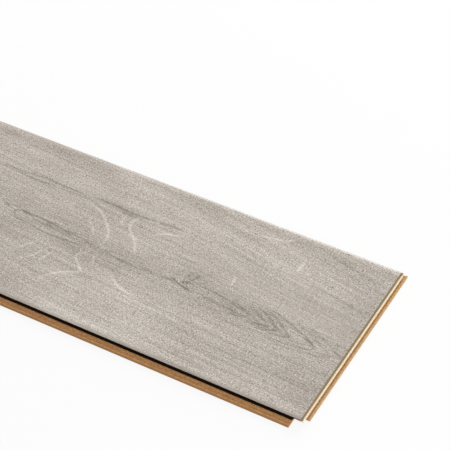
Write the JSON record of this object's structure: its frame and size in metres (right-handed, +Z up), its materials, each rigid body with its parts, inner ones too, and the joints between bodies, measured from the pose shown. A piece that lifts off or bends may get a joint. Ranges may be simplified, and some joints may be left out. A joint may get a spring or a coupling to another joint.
{
  "type": "laminate floor plank",
  "caption": "Long flat laminate flooring plank in grey oak print with rolled long edges, tongue and groove locking lip, and a fold-down snap joint at the ends.",
  "frame": {"origin": "under the middle of the whole plank, lips and tongue included, on the floor", "axes": "+X along the plank towards the end with the locking strip, +Y across it towards the tongue side, +Z up out of the decor face"},
  "size_m": [1.384, 0.2028, 0.008],
  "materials": {
    "hdf": "matte",
    "decor": "matte",
    "snap_plastic": "satin"
  },
  "bodies": {
    "root": {"hdf_core": "hdf", "decor_layer": "decor", "snap_tongue": "snap_plastic"}
  },
  "joints": []
}
